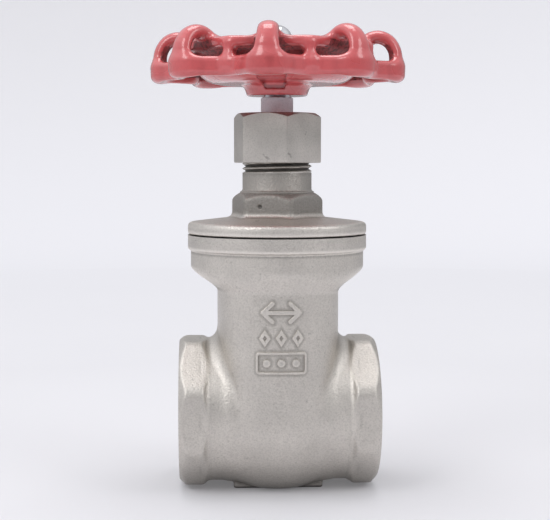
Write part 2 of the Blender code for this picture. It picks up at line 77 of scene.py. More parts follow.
# Body: mostly the CAD model's sizes
FLOW_Z = 29.0
HALF_LENGTH = body_high[0]
END_FLAT = 27.5                # centre to flat of the octagonal ends
END_CORNER_R = 29.1
END_START = 26.3
TUBE_R = 27.2
BARREL_R = 27.6
BARREL_END = 20.7
BOWL = (23.5, 30.9, 2.2)       # the wedge housing round the flow: half width, radius, power
NECK_A = 22.9
NECK_B = 30.3
NECK_POWER = 3.0
FLARE_START = 75.4
FLARE_TOP = 84.8
FLARE_R = 33.0
RIM_R = body_high[1]
RIM_BOTTOM = 90.9
BODY_TOP = body_high[2]
MARK_HEIGHT = 0.75
ARROW_Z = 69.7                 # heights of the marks on the front
LOZENGES_Z = 60.4
PLATE_Z = 51.3
PAD_HALF = (17.0, 10.0)
SOCKET_R = 22.6
SOCKET_END = HALF_LENGTH - 18.0
PIPE_PITCH = 25.4 / 11
PIPE_DEPTH = 1.35
BORE_R = 19.0
SEAT_R = 23.5
SEAT_HALF = 9.6
WEDGE_TAPER = math.tan(math.radians(4.0))
POCKET_R = 25.0
POCKET_HALF = 13.0
CAVITY = (18.9, 26.3)
CAVITY_BOTTOM = 55.0
SPIGOT_BORE_R = 28.6
SPIGOT_BORE_BOTTOM = 85.0
GASKET_SEAT_R = 31.6
GASKET_SEAT_Z = 95.0
GUIDE = (2.0, 21.6, 22.0, 84.0)    # half width, inner face, bottom, top

# Bonnet
FLANGE_BOTTOM = 96.9
SPIGOT_R = 28.3
HEX_BASE = 102.8
HEX_TOP = 112.9
# The bonnet above this height is rougher and darker: partly a less blasted finish, partly painted
# shade under the handwheel.
HEX_DULL_AND_SHADED = 0.1032              # in metres: above this the bonnet is dull
HEX_FLAT = 15.6
HEX_TURN = math.radians(-16.0)
NECK_R = 13.2
NECK_THREAD_BOTTOM = 119.9
NECK_PITCH = 1.814
NECK_DEPTH = 1.15
STUFFING_R = 9.4
PITS = (((-7.2, -14.4, 107.4), 0.85), ((-8.2, -20.3, 102.7), 0.7))     # centre, radius
SHOULDER_Z = 106.0
STEM_HOLE_R = 6.5
BOSS_ROOM = (12.0, 98.4, 103.0)    # room for the wedge's boss: radius, bottom, top
LIFT_ROOM = (24.0, 95.9)           # room above the wedge: radius, where its chamfer starts

# Packing nut
NUT_FLAT = 15.1
NUT_TURN = math.radians(-19.6)
NUT_CROWN_R = 14.8             # where the chamfer starts
NUT_CHAMFER_SLOPE = 0.68
NUT_THREAD_TOP = 138.0
NUT_CEILING = 138.9

# Stem
STEM_R = 6.15
STEM_THREAD_R = 5.5
STEM_PITCH = 3.0
COLLAR = (8.8, 107.6, 110.4)       # radius, bottom, top
STEM_SHOULDER = 148.4
SQUARE = 4.5                       # half its width
STUD_R = 3.9

# Dome nut
DOME_FLAT = 6.5
DOME_TURN = math.radians(20)
DOME_CROWN_R = 6.35
DOME_SLOPE = 0.55
DOME_SHOULDER = 6.4            # height of the hexagon
DOME_R = 5.9

# Handwheel
LOBES = 8
LOBE_TURN = math.radians(-97.5)
HUB_BOTTOM = wheel_low[2]
HUB_TOP = 156.9
HUB_R = 12.6
BAND = (154.5, 161.5)
BAND_LOBE_R = 48.0
BAND_VALLEY_R = 39.6
BAND_WALL = 4.2
RING = (164.8, 168.6)
RING_LOBE_R = 34.3
RING_VALLEY_R = 38.4
RING_INNER_R = 29.2
PILLAR = (37.2, 2.4, 1.9, 157.0, 167.0)     # radius, half its thickness and width, bottom, top
RECESS = (151.3, 155.8, 3.6, 19.0, 10.0)    # bottom, top, half width, middle, half length
ARCH = ((44.5, 157.2), (44.9, 161.5), (44.4, 165.8), (42.0, 169.4), (38.2, 170.9),
        (34.4, 169.8), (31.8, 166.4))      # radius and height along a grip's middle
ARCH_THICK = 2.5
ARCH_WIDE = (5.0, 1.3)         # half width at the bottom, and its loss towards the top
ARCH_POWER = 2.1
# The dish: radius, height and half its thickness
DISH = ((11.0, 154.6, 1.7), (18.0, 154.8, 1.6), (24.0, 155.3, 1.6), (27.6, 157.2, 1.6),
        (29.6, 160.4, 1.6), (30.6, 164.6, 1.6), (31.0, 166.8, 1.7))

FINE = 0.4      # voxel of the body's field
FINER = 0.38    # voxel of the bonnet's and the handwheel's fields


# ---------- distance fields

class Field:
    """A regular grid on which distances to a surface are worked out; negative is inside."""

    def __init__(self, low, high, voxel):
        self.low = np.array(low, np.float32)
        self.voxel = voxel
        axes = [np.arange(l, h + voxel, voxel, dtype=np.float32) for l, h in zip(low, high)]
        self.x, self.y, self.z = np.meshgrid(*axes, indexing="ij", sparse=True)
        self.around_z = np.sqrt(self.x ** 2 + self.y ** 2)

    def skin(self, name, distance):
        """The closed mesh of the surface where the distance is zero."""
        self.distance = distance
        band = 3 * self.voxel
        distance = np.clip(distance, -band, band).astype(np.float32)
        volume = openvdb.FloatGrid(band)
        volume.copyFromArray(np.ascontiguousarray(distance))
        points, quads = volume.convertToQuads(isovalue=0.0)
        return face_outward(mesh_object(name, points * self.voxel + self.low, quads.tolist()))

    def sample(self, points):
        """Distances at points in mm, each blended from the grid's eight nearest values."""
        place = (points - self.low) / self.voxel
        corner = np.clip(np.floor(place).astype(int), 0, np.array(self.distance.shape) - 2)
        part = np.clip(place - corner, 0, 1)
        total = np.zeros(len(points))
        for step in np.ndindex(2, 2, 2):
            weight = np.prod(np.where(step, part, 1 - part), axis=1)
            total += weight * self.distance[tuple((corner + step).T)]
        return total

    def holds(self, points):
        """Which of the points in mm lie on the grid."""
        high = self.low + self.voxel * (np.array(self.distance.shape) - 1)
        return np.all((points > self.low) & (points < high), axis=1)


def smooth_min(a, b, k):
    h = np.clip(0.5 + 0.5 * (b - a) / k, 0, 1)
    return b + (a - b) * h - k * h * (1 - h)


def smooth_max(a, b, k):
    return -smooth_min(-a, -b, k)


def smooth_step(low, high, value):
    t = np.clip((value - low) / (high - low), 0, 1)
    return t * t * (3 - 2 * t)


def rounded_box(*sides, radius):
    """Distance to a box from the distances past its sides, with its edges rounded."""
    sides = [side + radius for side in sides]
    outside = np.sqrt(sum(np.maximum(side, 0) ** 2 for side in sides))
    inside = sides[0]
    for side in sides[1:]:
        inside = np.maximum(inside, side)
    return outside + np.minimum(inside, 0) - radius


def superellipse(x, y, a, b, power):
    """Distance, along the radius, to an upright superelliptic column."""
    f = (np.abs(x / a) ** power + np.abs(y / b) ** power) ** (1 / power)
    radius = np.sqrt(x ** 2 + y ** 2)
    return radius - radius / np.maximum(f, 1e-3)


def path_distance(u, v, path):
    """Distance to a bar along a chain of straight lines through (u, v, half thickness) points."""
    nearest = None
    for (u0, v0, t0), (u1, v1, t1) in zip(path, path[1:]):
        du, dv = u1 - u0, v1 - v0
        along = np.clip(((u - u0) * du + (v - v0) * dv) / (du * du + dv * dv), 0, 1)
        gap = np.sqrt((u - u0 - along * du) ** 2 + (v - v0 - along * dv) ** 2)
        gap = gap - (t0 + (t1 - t0) * along)
        nearest = gap if nearest is None else np.minimum(nearest, gap)
    return nearest


def smooth_path(points, steps=3):
    """A Catmull-Rom curve through the points, each a tuple of numbers."""
    knots = [np.array(p, float) for p in points]
    knots = [2 * knots[0] - knots[1]] + knots + [2 * knots[-1] - knots[-2]]
    path = []
    for a, b, c, d in zip(knots, knots[1:], knots[2:], knots[3:]):
        for i in range(steps):
            t = i / steps
            path.append(0.5 * (2 * b + (c - a) * t + (2 * a - 5 * b + 4 * c - d) * t * t
                               + (3 * b - a - 3 * c + d) * t ** 3))
    path.append(knots[-2])
    return [tuple(float(value) for value in point) for point in path]


# ---------- mesh building

def new_object(name, data):
    """An object made of the data, in the scene."""
    thing = bpy.data.objects.new(name, data)
    bpy.context.scene.collection.objects.link(thing)
    return thing


def mesh_object(name, points, faces):
    """A mesh object from points in mm."""
    mesh = bpy.data.meshes.new(name)
    mesh.from_pydata((points * MM).tolist(), [], faces)
    mesh.update()
    return new_object(name, mesh)


def vectors(items, key):
    """One vector for each vertex or face of a mesh."""
    values = np.empty(len(items) * 3)
    items.foreach_get(key, values)
    return values.reshape(-1, 3)


def store(mesh, name, values):
    """Keep a number for each vertex, for the materials to read."""
    layer = mesh.attributes.new(name, "FLOAT", "POINT")
    layer.data.foreach_set("value", values.astype(np.float32))


def from_axis(points):
    """Distances from Z."""
    return np.hypot(points[:, 0], points[:, 1])


def face_outward(piece):
    """Flip a closed mesh whose faces point in."""
    mesh = piece.data
    points = vectors(mesh.vertices, "co")
    mesh.calc_loop_triangles()
    corners = np.empty(len(mesh.loop_triangles) * 3, np.int64)
    mesh.loop_triangles.foreach_get("vertices", corners)
    a, b, c = (points[corners.reshape(-1, 3)[:, i]] for i in range(3))
    if np.einsum("ij,ij->", a, np.cross(b, c)) < 0:
        mesh.flip_normals()
    return piece


def turned(name, profile, count=128):
    """Revolve rows of (radius, z) round Z. Each value is a number, or a function of the angle.

    A closed loop of rows makes a ring. Rows that start and end at radius 0 make a solid.
    """
    angles = np.arange(count) * TAU / count
    rows = np.empty((len(profile), count, 3))
    for row, (radius, height) in zip(rows, profile):
        radius = radius(angles) if callable(radius) else np.full(count, float(radius))
        height = height(angles) if callable(height) else np.full(count, float(height))
        row[:, 0] = radius * np.cos(angles)
        row[:, 1] = radius * np.sin(angles)
        row[:, 2] = height
    solid = profile[0][0] == 0 and profile[-1][0] == 0
    rings = rows[1:-1] if solid else rows
    points = rings.reshape(-1, 3)
    index = np.arange(len(points)).reshape(-1, count).tolist()
    following = [(i + 1) % count for i in range(count)]
    faces = []
    if solid:
        # The first and last rows shrink to one point each.
        points = np.vstack([points, rows[0, :1], rows[-1, :1]])
        top, bottom = len(points) - 2, len(points) - 1
        for i, j in enumerate(following):
            faces.append((top, index[0][i], index[0][j]))
            faces.append((bottom, index[-1][j], index[-1][i]))
    lower_rings = index[1:] if solid else index[1:] + index[:1]
    for upper, lower in zip(index, lower_rings):
        for i, j in enumerate(following):
            faces.append((upper[i], lower[i], lower[j], upper[j]))
    return face_outward(mesh_object(name, points, faces))


def thread_rows(crest, depth, pitch, bottom, top, hand=1, runout=(1.0, 1.0), rows_per_turn=12):
    """Rows, top to bottom, of a helical V thread that fades out over the runout at its ends."""
    count = max(2, int(round((top - bottom) / pitch * rows_per_turn)))
    rows = []
    for height in np.linspace(top, bottom, count + 1):
        fade = max(0.0, min(1.0, (height - bottom) / runout[0], (top - height) / runout[1]))

        def radius(angles, height=height, fade=fade):
            phase = (height / pitch - hand * angles / TAU) % 1.0
            ridge = 1 - np.abs(2 * phase - 1)
            groove = 1 - np.clip(ridge * 1.35 - 0.15, 0, 1)
            return crest - depth * fade * groove
        rows.append((radius, float(height)))
    return rows


def socket_rows(crest, depth, pitch, bottom, top, runout):
    """As thread_rows, for a thread cut into a hole: its grooves reach past the crest radius."""
    return thread_rows(crest, -depth, pitch, bottom, top, 1, runout)


def hexagon_radius(flat, turn, sharpness=60):
    """Radius of a hexagon with slightly rounded corners, by angle; turn is one corner's angle."""
    def radius(angles):
        total = sum(np.abs(np.cos(angles - turn - math.pi / 6 - k * math.pi / 3)) ** sharpness
                    for k in range(3))
        return flat / total ** (1 / sharpness)
    return radius


def offset(function, amount):
    return lambda angles: function(angles) + amount


def crowned(radius, top, crown_r, slope):
    """Height at which a hexagon's side meets the cone that chamfers its top."""
    return lambda angles: top - np.maximum(0, radius(angles) - crown_r) * slope


def settle(piece):
    """Apply the piece's modifiers to its mesh."""
    bpy.context.view_layer.update()
    graph = bpy.context.evaluated_depsgraph_get()
    mesh = bpy.data.meshes.new_from_object(piece.evaluated_get(graph))
    piece.modifiers.clear()
    piece.data = mesh
    return piece


def carve(piece, cutter, operation="DIFFERENCE"):
    """Cut or join a closed mesh, and drop the cutter."""
    step = piece.modifiers.new("carve", "BOOLEAN")
    step.operation = operation
    step.solver = "MANIFOLD"
    step.object = cutter
    settle(piece)
    bpy.data.objects.remove(cutter, do_unlink=True)
    return piece


def lay_along_flow(piece, side):
    """Turn a shape made round Z so that its top points along the flow, to one side."""
    piece.rotation_euler = (0.0, side * math.pi / 2, 0.0)
    piece.location = (0.0, 0.0, FLOW_Z * MM)
    bpy.context.view_layer.update()
    piece.data.transform(piece.matrix_world)
    piece.rotation_euler = (0.0, 0.0, 0.0)
    piece.location = (0.0, 0.0, 0.0)
    return piece


def measure_faces(piece):
    """Each face's centre and its distance from Z, in mm, and its normal."""
    centres = vectors(piece.data.polygons, "center") / MM
    return centres, from_axis(centres), vectors(piece.data.polygons, "normal")


def note_form(piece, fields, reach=1.3):
    """Stores how far the surface bulges (above 0) or is hollow (below 0) at each point.

    Where fields overlap the later one holds, at a quarter of the strength of the one before.
    """
    mesh = piece.data
    points, normals = vectors(mesh.vertices, "co") / MM, vectors(mesh.vertices, "normal")
    form = np.zeros(len(points))
    for order, field in enumerate(fields):
        near = field.holds(points)
        outer = field.sample(points[near] + normals[near] * reach)
        inner = field.sample(points[near] - normals[near] * reach)
        form[near] = (outer + inner) / reach / 4 ** order
    store(mesh, "form", form.clip(-1, 1))


def note_groove(piece, crest_r, depth, bottom, top):
    """Stores how deep each point of a thread round Z lies: 0 at its crest, 1 at its root."""
    mesh = piece.data
    points = vectors(mesh.vertices, "co") / MM
    inward = (crest_r - from_axis(points)) / depth
    on_thread = (points[:, 2] > bottom) & (points[:, 2] < top) & (inward < 1.1)
    store(mesh, "groove", np.where(on_thread, inward, 0).clip(0, 1))


def finish_piece(piece, body, nodes, materials, region=None, sharp=35):
    """Shade, paint and place a piece. Faces where region is true take the second material."""
    mesh = piece.data
    mesh.materials.clear()
    for material in materials:
        mesh.materials.append(material)
    mesh.shade_smooth()
    mesh.set_sharp_from_angle(angle=math.radians(sharp))
    if region is not None:
        mesh.polygons.foreach_set("material_index", region.astype(np.int32))
    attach(piece, body)
    if nodes:
        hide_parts(*nodes)
    return piece


# ---------- materials

class Nodes:
    """Short helpers to build the node tree of a material or a world."""

    def __init__(self, owner, shader="Principled BSDF", place="Object"):
        owner.use_nodes = True
        self.owner = owner
        self.tree = owner.node_tree
        self.shader = self.tree.nodes[shader]
        self.place = self.add("ShaderNodeTexCoord").outputs[place]

    def wire(self, source, target):
        if isinstance(source, (int, float, tuple)):
            target.default_value = source
        else:
            self.tree.links.new(source, target)

    def fill(self, node, **inputs):
        """Give a node's inputs their values or sources."""
        for key, value in inputs.items():
            self.wire(value, node.inputs[key.replace("_", " ")])
        return node

    def add(self, kind, settings=(), **inputs):
        node = self.tree.nodes.new(kind)
        for key, value in settings:
            setattr(node, key, value)
        return self.fill(node, **inputs)

    def noise(self, scale, detail=3.0, roughness=0.5, vector=None):
        return self.add("ShaderNodeTexNoise", Vector=vector or self.place, Scale=scale,
                        Detail=detail, Roughness=roughness).outputs["Fac"]

    def cells(self, scale):
        return self.add("ShaderNodeTexVoronoi", Vector=self.place, Scale=scale).outputs["Distance"]

    def stretched(self, x, y, z):
        return self.add("ShaderNodeMapping", Vector=self.place, Scale=(x, y, z)).outputs["Vector"]

    def axes(self):
        return self.add("ShaderNodeSeparateXYZ", Vector=self.place).outputs

    def attribute(self, name):
        return self.add("ShaderNodeAttribute", [("attribute_name", name)]).outputs["Fac"]

    def reach(self):
        """Distance from the object's origin."""
        return self.add("ShaderNodeVectorMath", [("operation", "LENGTH")],
                        Vector=self.place).outputs["Value"]

    def remap(self, value, low, high, to_low, to_high):
        return self.add("ShaderNodeMapRange", Value=value, From_Min=low, From_Max=high,
                        To_Min=to_low, To_Max=to_high).outputs["Result"]

    def maths(self, operation, *values):
        node = self.add("ShaderNodeMath", [("operation", operation)])
        for value, socket in zip(values, node.inputs):
            self.wire(value, socket)
        return node.outputs[0]

    def blend(self, factor, a, b):
        node = self.add("ShaderNodeMix", [("data_type", "RGBA")], Factor=factor)
        self.wire(a, node.inputs[6])
        self.wire(b, node.inputs[7])
        return node.outputs[2]

    def bump(self, height, strength, distance, normal=None):
        node = self.add("ShaderNodeBump", Height=height, Strength=strength, Distance=distance)
        if normal is not None:
            self.wire(normal, node.inputs["Normal"])
        return node.outputs["Normal"]

    def set(self, **inputs):
        self.fill(self.shader, **inputs)
        return self.owner


def material(name):
    return Nodes(bpy.data.materials.new(name))


def tinted(level, warmth=1.0):
    """The grey of stainless steel at a level of brightness, warm or cool."""
    return (level, level * (1 - 0.055 * warmth), level * (1 - 0.125 * warmth), 1)


def cast_steel(name, dull_and_shaded_above=None):
    """Blasted investment-cast stainless: fine pits and grain, faint stains, dull in patches.

    Hollows are darker as painted shade, and bulging edges lighter, partly from wear and partly
    as a painted highlight. The steel darkens towards the foot as painted shade, with a painted
    contact shadow at its very bottom. Above the height given in metres, the steel is rougher, and
    darker partly as it was blasted less there and partly as painted shade under the handwheel.
    """
    n = material(name)
    grain = n.noise(1500, 3.0, 0.65)
    pits = n.cells(1300)
    patches = n.noise(70, 4.0, 0.55)
    waves = n.noise(160, 2.0, 0.5)
    specks = n.noise(700, 2.0, 0.5)
    tone = n.blend(n.remap(patches, 0.35, 0.68, 0, 1), tinted(0.62), tinted(0.69))
    tone = n.blend(n.remap(grain, 0.42, 0.72, 0, 0.5), tone, tinted(0.42))
    tone = n.blend(n.remap(specks, 0.66, 0.76, 0, 0.45), tone, tinted(0.32))
    form = n.attribute("form")
    # Painted shade in the hollows; on bulging edges a lightening that is partly wear and partly
    # painted highlight.
    tone = n.blend(n.remap(form, -0.02, -0.30, 0, 0.8), tone, tinted(0.20))
    tone = n.blend(n.remap(form, 0.03, 0.25, 0, 0.6), tone, tinted(0.88))
    height = n.axes()["Z"]
    # Painted shade darker towards the foot, and a painted contact shadow at the very bottom.
    tone = n.blend(n.remap(height, 0.002, 0.014, 0.62, 0), tone, tinted(0.20))
    tone = n.blend(n.remap(height, 0.0003, 0.0012, 0.85, 0), tone, tinted(0.05))
    rough = n.maths("ADD", n.remap(patches, 0.3, 0.7, 0.38, 0.47),
                    n.remap(grain, 0.3, 0.7, -0.05, 0.07))
    rough = n.maths("ADD", rough, n.remap(form, -0.01, -0.15, 0, 0.14))
    # Rougher above the height, and darker partly as a less blasted finish, partly as painted shade
    # under the handwheel.
    if dull_and_shaded_above:
        dullness_and_shade = n.remap(height, dull_and_shaded_above, dull_and_shaded_above + 0.003, 0, 0.6)
        tone = n.blend(dullness_and_shade, tone, tinted(0.15))
        rough = n.maths("ADD", rough, n.maths("MULTIPLY", dullness_and_shade, 0.2))
    normal = n.bump(n.noise(75, 2.0, 0.45), 0.22, 0.0010, n.bump(waves, 0.12, 0.0005))
    normal = n.bump(pits, 0.40, 0.00015, normal)
    normal = n.bump(grain, 0.75, 0.00022, normal)
    return n.set(Base_Color=tone, Metallic=1.0, Roughness=rough, Normal=normal)


def machined_steel(name, metallic=1.0, haze=0.0, warmth=1.0, lift=1.0):
    """Turned or milled stainless: fine lines round the axis over a satin surface.

    Thread grooves are darkened as painted shade. Lift makes the whole tone brighter.
    """
    n = material(name)
    lines = n.noise(300, 3.0, 0.6, n.stretched(0.3, 0.3, 14.0))
    smudge = n.noise(90, 3.0, 0.5)
    grain = n.noise(1900, 2.0, 0.6)
    dents = n.noise(320, 2.0, 0.5)
    tone = n.blend(n.remap(smudge, 0.35, 0.7, 0, 1),
                   tinted(0.52 * lift, warmth), tinted(0.61 * lift, warmth))
    tone = n.blend(n.remap(grain, 0.45, 0.75, 0, 0.45), tone, tinted(0.34 * lift, warmth))
    tone = n.blend(n.remap(dents, 0.70, 0.76, 0, 0.6), tone, tinted(0.24))
    # Painted shade in the thread grooves.
    tone = n.blend(n.remap(n.attribute("groove"), 0.25, 0.85, 0, 0.88), tone, tinted(0.08))
    rough = n.maths("ADD", n.remap(smudge, 0.3, 0.7, 0.36 + haze, 0.44 + haze),
                    n.remap(lines, 0.35, 0.65, -0.03, 0.04))
    normal = n.bump(grain, 0.6, 0.00014, n.bump(lines, 0.10, 0.0001))
    return n.set(Base_Color=tone, Metallic=metallic, Roughness=rough, Normal=normal)


def polished_steel():
    n = material("polished_steel")
    haze = n.noise(220, 3.0, 0.6)
    rough = n.remap(haze, 0.3, 0.75, 0.04, 0.12)
    tone = n.blend(n.remap(haze, 0.4, 0.7, 0, 1), (0.72, 0.72, 0.74, 1), (0.82, 0.82, 0.83, 1))
    normal = n.bump(n.noise(900, 2.0), 0.04, 0.0001)
    return n.set(Base_Color=tone, Metallic=1.0, Roughness=rough, Normal=normal)


def red_coating(name, roughness, mottle, depth=1.0):
    """Thick glossy dipped coating over a casting: orange peel, and slow changes of depth.

    Where mottle is high the coating is thin, and the casting's dark grain shows through. Hollows
    are darker as painted shade and bulges lighter as a painted highlight. The depth argument
    darkens the whole colour as painted shade; it is below 1 only for the shadowed hollows.
    """
    n = material(name)
    peel = n.noise(420, 2.0, 0.5)
    slow = n.noise(45, 3.0, 0.5)
    specks = n.noise(900, 3.0, 0.6)
    tone = n.blend(n.remap(slow, 0.35, 0.7, 0, 1),
                   (0.55 * depth, 0.080 * depth, 0.084 * depth, 1),
                   (0.64 * depth, 0.104 * depth, 0.110 * depth, 1))
    tone = n.blend(n.remap(specks, 0.45, 0.62, 0, mottle), tone, (0.10, 0.022, 0.022, 1))
    form = n.attribute("form")
    # Painted shade in the hollows, and a painted highlight on the bulges.
    tone = n.blend(n.remap(form, -0.03, -0.42, 0, 0.75), tone, (0.24, 0.022, 0.026, 1))
    tone = n.blend(n.remap(form, 0.15, 0.6, 0, 0.25), tone, (0.66, 0.16, 0.16, 1))
    rough = n.remap(slow, 0.3, 0.7, roughness, roughness + 0.08)
    normal = n.bump(slow, 0.25, 0.0012)
    normal = n.bump(peel, 0.18 + mottle, 0.0004, normal)
    normal = n.bump(specks, mottle, 0.0003, normal)
    return n.set(Base_Color=tone, Metallic=0.0, Roughness=rough, Normal=normal,
                 Coat_Weight=0.9 - 0.85 * mottle, Coat_Roughness=roughness / 4,
                 Specular_IOR_Level=0.55)


def soft_packing():
    """Woven square packing, pale and dull."""
    n = material("packing")
    weave = n.add("ShaderNodeTexWave", [("wave_type", "BANDS"), ("bands_direction", "DIAGONAL")],
                  Vector=n.place, Scale=600, Distortion=2.0).outputs["Fac"]
    fuzz = n.noise(2500, 3.0)
    tone = n.blend(weave, (0.62, 0.61, 0.58, 1), (0.82, 0.81, 0.79, 1))
    normal = n.bump(fuzz, 0.3, 0.0001, n.bump(weave, 0.5, 0.0002))
    return n.set(Base_Color=tone, Roughness=n.remap(fuzz, 0.3, 0.7, 0.5, 0.7), Normal=normal)


def graphite_gasket():
    n = material("gasket")
    fibres = n.noise(900, 4.0, 0.7, n.stretched(1.0, 1.0, 0.2))
    tone = n.blend(fibres, (0.018, 0.018, 0.019, 1), (0.055, 0.053, 0.050, 1))
    normal = n.bump(fibres, 0.4, 0.0001)
    return n.set(Base_Color=tone, Roughness=n.remap(fibres, 0.3, 0.7, 0.55, 0.8), Normal=normal)


CAST = cast_steel("cast_steel")
# Bonnet and packing nut chamfer: dull steel, darkened high up partly as painted shade under the
# handwheel.
CAST_DULL_AND_SHADED = cast_steel("cast_steel_dull_and_shaded", HEX_DULL_AND_SHADED)
MACHINED = machined_steel("machined_steel")
STEM_STEEL = machined_steel("stem_steel", 0.35, 0.06, -0.8, 1.5)
POLISHED = polished_steel()
RED = red_coating("red_coating", 0.24, 0.06)
# Thin rough coat for the wheel's hollows, its colour darkened to 0.55 as painted shade.
RED_ROUGH_SHADED = red_coating("red_coating_rough_shaded", 0.55, 0.9, 0.55)
PACKING = soft_packing()
GASKET = graphite_gasket()


# ---------- valve body

def neck_field(g, a, b, power):
    """The neck's column, flaring from its flat-sided section to a round one."""
    flare = smooth_step(FLARE_START, FLARE_TOP, g.z)
    a = a + (FLARE_R - a) * flare
    b = b + (FLARE_R - b) * flare
    power = power + (2 - power) * flare
    return superellipse(g.x, g.y, a, b, power)


def end_field(g, radial):
    """Octagonal ends: flats, turned corners, and a cone chamfer at both edges."""
    u, v = np.abs(g.y), np.abs(g.z - FLOW_Z)
    flats = smooth_max(smooth_max(u, v, 0.3), (u + v) / math.sqrt(2), 0.3) - END_FLAT
    reach = np.abs(g.x)
    corner = radial - END_CORNER_R
    front = (radial + (reach - (HALF_LENGTH - 2.4)) - END_CORNER_R) / math.sqrt(2)
    back = (radial + (END_START + 2.2 - reach) - END_CORNER_R) / math.sqrt(2)
    envelope = smooth_max(smooth_max(corner, front, 0.4), back, 0.4)
    shape = smooth_max(flats, envelope, 0.4)
    shape = smooth_max(shape, END_START - reach, 0.5)
    return smooth_max(shape, reach - (HALF_LENGTH + 1.0), 1.0)


def segment(u, v, start, end, half):
    return path_distance(u, v, [(*start, half), (*end, half)])


def marks_field(u, v):
    """Plain raised marks: a flow arrow with two heads, three lozenges, and a plate with dots."""
    stroke = 0.75
    arrow = segment(u, v, (-5.6, ARROW_Z), (5.6, ARROW_Z), stroke)
    for side in (-1, 1):
        for slope in (-1, 1):
            arm = segment(u, v, (side * 6.8, ARROW_Z), (side * 3.2, ARROW_Z + slope * 3.3), stroke)
            arrow = np.minimum(arrow, arm)
    plate = np.abs(rounded_box(np.abs(u) - 9.3, np.abs(v - PLATE_Z) - 4.1, radius=1.4) + 0.45) - 0.45
    shape = np.minimum(arrow, plate)
    for centre in (-6.0, 0.0, 6.0):
        lozenge = (np.abs(u - centre) * 3.3 + np.abs(v - LOZENGES_Z) * 2.2) / 4.0 - 1.75
        hollow = np.maximum(lozenge, -(lozenge + 1.2))
        dot = np.sqrt((u - centre * 0.9) ** 2 + (v - PLATE_Z) ** 2) - 1.5
        shape = np.minimum(shape, np.minimum(hollow, dot))
    return shape


def body_cavity(g, radial):
    """The wedge's pocket and the cavity above it, less the seats and the guide ribs."""
    pocket = rounded_box(radial - POCKET_R, np.abs(g.x) - POCKET_HALF, radius=1.5)
    upper = superellipse(g.x, g.y, *CAVITY, NECK_POWER)
    upper = smooth_max(upper, CAVITY_BOTTOM - g.z, 2.0)
    mouth = rounded_box(np.abs(g.x) - POCKET_HALF, np.abs(g.y) - POCKET_R + 0.6, FLOW_Z - g.z,
                        g.z - CAVITY_BOTTOM - 3, radius=0.5)
    cavity = smooth_min(smooth_min(pocket, mouth, 1.0), upper, 2.0)
    cavity = np.maximum(cavity, g.z - SPIGOT_BORE_BOTTOM - 1)
    seats = np.maximum(radial - SEAT_R, SEAT_HALF + (g.z - FLOW_Z) * WEDGE_TAPER - np.abs(g.x))
    half, face, bottom, top = GUIDE
    ribs = np.maximum(np.maximum(np.abs(g.x) - half, face - np.abs(g.y)),
                      np.maximum(bottom - g.z, g.z - top))
    return smooth_max(smooth_max(cavity, -seats, 0.4), -ribs, 0.6)


def body_outside(g, radial):
    """The casting's outer shape: barrel, bowl, column, rim, ends and foot pad."""
    reach = np.abs(g.x)
    narrowing = smooth_step(BARREL_END - 2.0, BARREL_END + 1.2, reach)
    barrel = radial - (TUBE_R + (BARREL_R - TUBE_R) * (1 - narrowing))
    barrel = np.maximum(barrel, reach - END_START - 2)
    # The bowl has the column's section at the flow's height, and grows round towards its bottom.
    down = ((FLOW_Z - g.z) / np.maximum(radial, 1)).clip(0, 1)
    a, b, power = (column + (bottom - column) * down
                   for column, bottom in zip((NECK_A, NECK_B, NECK_POWER), BOWL))
    bowl = superellipse(g.x, radial, a, b, power)
    neck = np.maximum(neck_field(g, NECK_A, NECK_B, NECK_POWER), FLOW_Z - g.z)
    neck = np.maximum(neck, g.z - RIM_BOTTOM - 1)
    # The fillet at the column's foot is wide at the sides and vanishes where the faces merge.
    fillet = 0.8 + 5.0 * (1 - smooth_step(14.0, 30.0, np.abs(g.y)))
    shape = smooth_min(barrel, np.minimum(bowl, neck), fillet)
    rim = rounded_box(g.around_z - RIM_R, RIM_BOTTOM - g.z, g.z - BODY_TOP - 1.5, radius=0.7)
    shape = smooth_min(shape, rim, 0.9)
    shape = smooth_min(shape, end_field(g, radial), 0.9)
    pad = rounded_box(reach - PAD_HALF[0], np.abs(g.y) - PAD_HALF[1], g.z - 6, radius=1.2)
    shape = smooth_min(shape, pad, 0.5)
    return smooth_max(shape, -g.z, 0.6)


